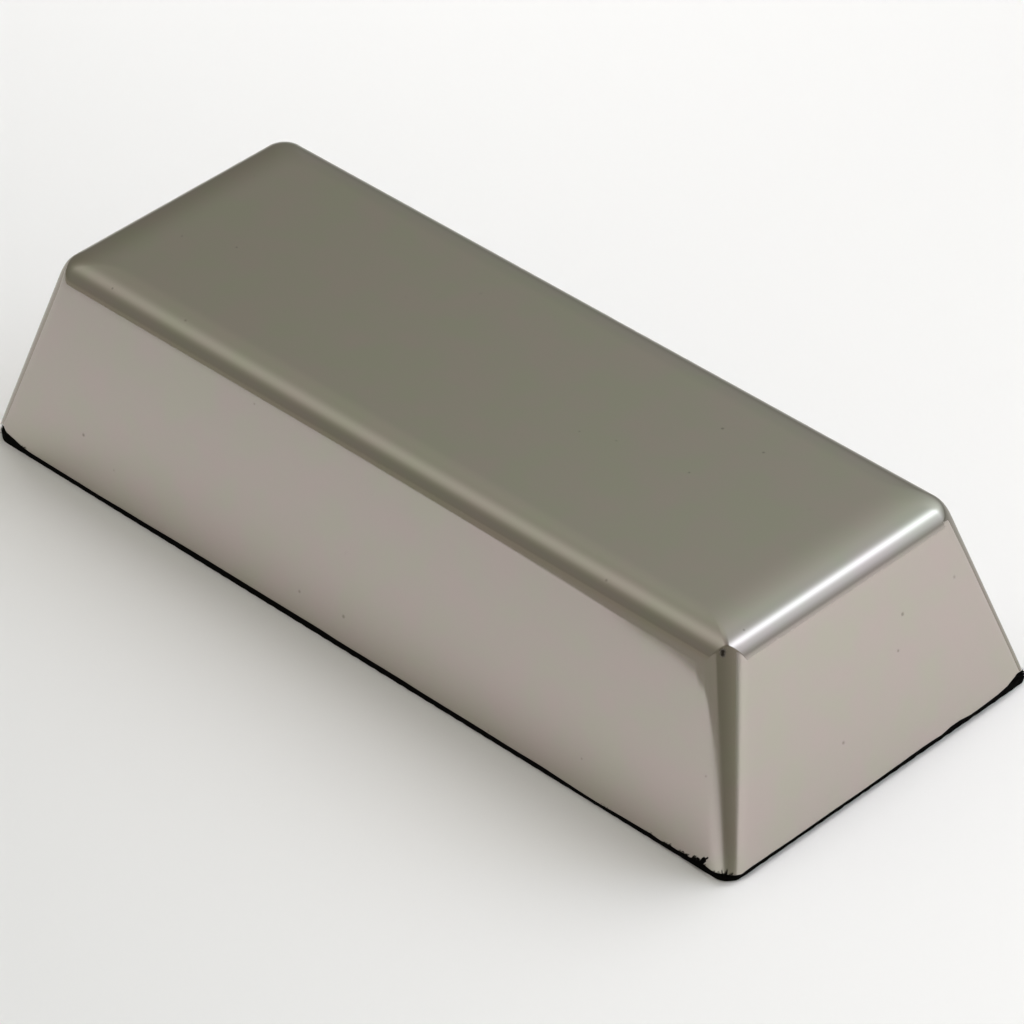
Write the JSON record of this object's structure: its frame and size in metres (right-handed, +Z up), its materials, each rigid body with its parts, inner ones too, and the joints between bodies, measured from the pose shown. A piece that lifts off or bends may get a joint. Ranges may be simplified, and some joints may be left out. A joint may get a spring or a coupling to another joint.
{
  "type": "polished metal ingot",
  "caption": "Polished metal ingot: a long block with drafted walls, a rolled upper rim and rounded corners, on a thin black felt base pad.",
  "frame": {"origin": "middle of the footprint, on the surface the ingot stands on", "axes": "+X along the ingot's length, +Y across its width, +Z up"},
  "size_m": [0.12, 0.0496, 0.0258],
  "materials": {
    "polished_metal": "polished",
    "black_felt": "matte"
  },
  "bodies": {
    "root": {"ingot": "polished_metal", "base_pad": "black_felt"}
  },
  "joints": []
}
